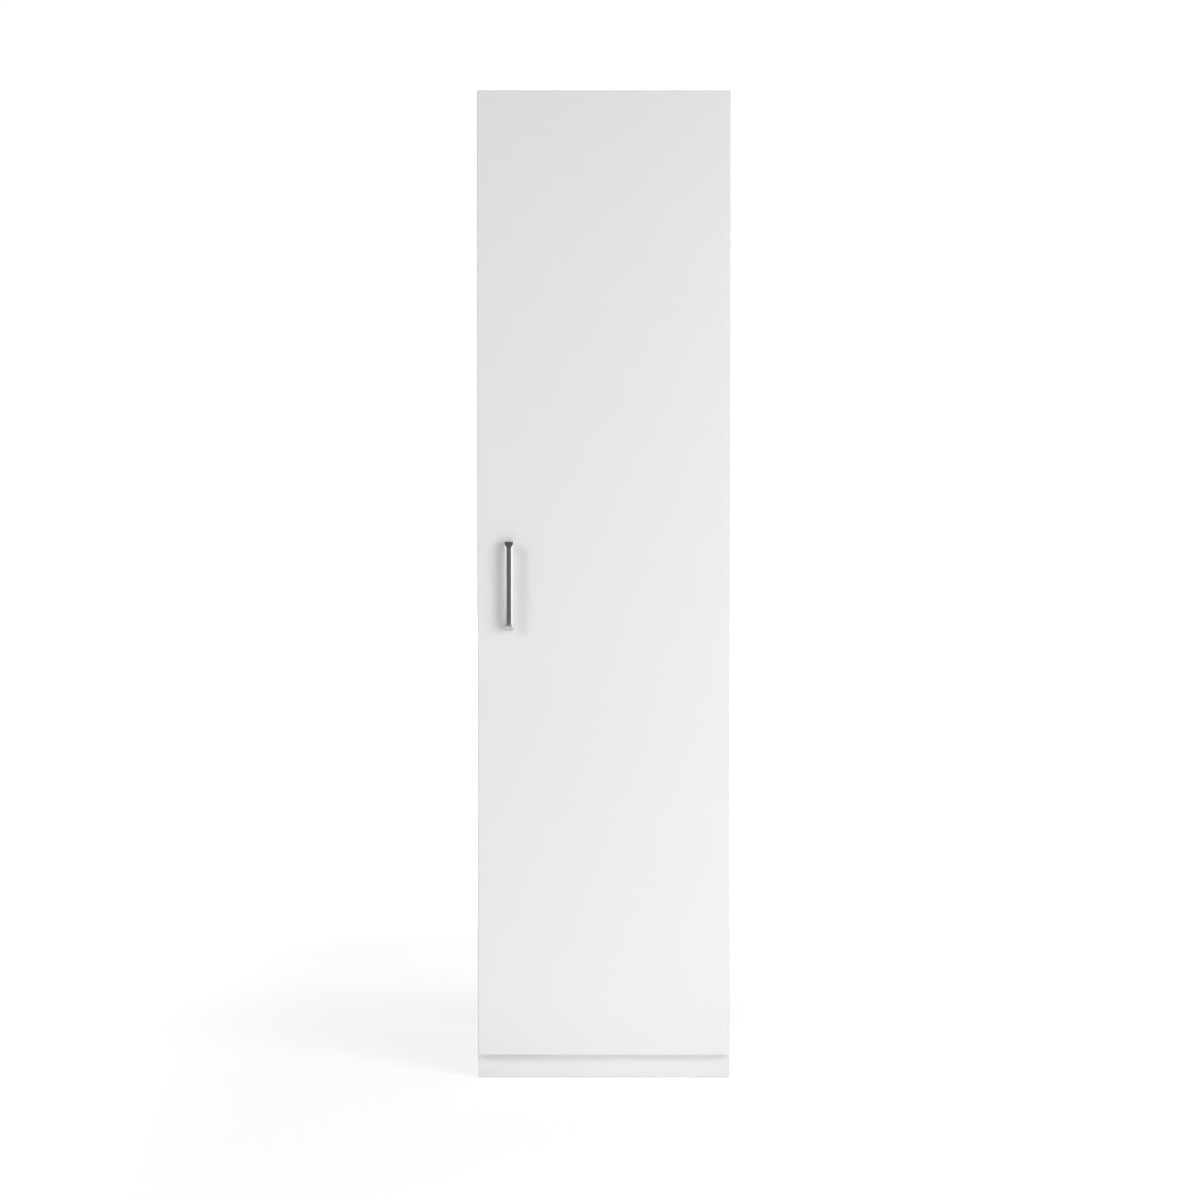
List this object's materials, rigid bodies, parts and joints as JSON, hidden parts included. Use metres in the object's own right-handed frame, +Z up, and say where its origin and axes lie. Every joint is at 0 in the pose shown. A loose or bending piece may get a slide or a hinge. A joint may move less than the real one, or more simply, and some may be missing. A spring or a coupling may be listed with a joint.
{
  "type": "tall one-door utility cupboard",
  "caption": "Tall narrow white storage cupboard with one full-height right-hinged door, a low plinth, inner shelves and a chrome bow handle.",
  "frame": {"origin": "on the floor, below the middle of the whole envelope in X and Y", "axes": "+Z up; the door faces -Y; +X to the right seen from the front, which is the hinged side"},
  "size_m": [0.5, 0.63, 1.955],
  "materials": {
    "white_melamine": "melamine-faced board, plain white, very fine pearl texture, satin",
    "white_front": "plain white door front with rounded matching edges, satin",
    "white_hardboard": "thin hardboard, white lacquered inside, matt",
    "white_plastic": "white moulded plastic, matt",
    "zinc_plated": "bright zinc plated steel",
    "nickel_plated": "nickel plated steel, satin",
    "polished_chrome": "chrome plated die casting, polished",
    "beech": "fluted beech, raw",
    "clear_buffer": "clear soft polyurethane"
  },
  "bodies": {
    "cabinet": {"left_side": "white_melamine", "right_side": "white_melamine", "top_panel": "white_melamine", "bottom_panel": "white_melamine", "fixed_shelf": "white_melamine", "shelf_lower": "white_melamine", "shelf_middle": "white_melamine", "shelf_upper": "white_melamine", "back_panel_lower": "white_hardboard", "back_panel_upper": "white_hardboard", "back_joining_strip": "white_plastic", "plinth_front": "white_melamine", "plinth_rear": "white_melamine", "cam_housings": "zinc_plated", "cam_bolts": "zinc_plated", "cam_caps": "white_plastic", "dowels": "beech", "shelf_pins": "nickel_plated", "floor_glides": "white_plastic", "wall_brackets": "zinc_plated", "wall_bracket_screws": "zinc_plated", "hinge_plates": "nickel_plated", "hinge_plate_screws": "zinc_plated", "hinge_arms": "nickel_plated", "hinge_adjust_screws": "zinc_plated"},
    "door": {"door": "white_front", "handle": "polished_chrome", "handle_screws": "zinc_plated", "hinge_cups": "nickel_plated", "hinge_cup_screws": "zinc_plated", "hinge_pins": "zinc_plated", "door_buffers": "clear_buffer"}
  },
  "joints": [
    {"name": "door_swing", "type": "hinge", "parent": "cabinet", "child": "door", "pos_m": [0.2405, -0.2775, 1.0015], "axis": [0, 0, 1], "range_deg": [0, 100]}
  ]
}
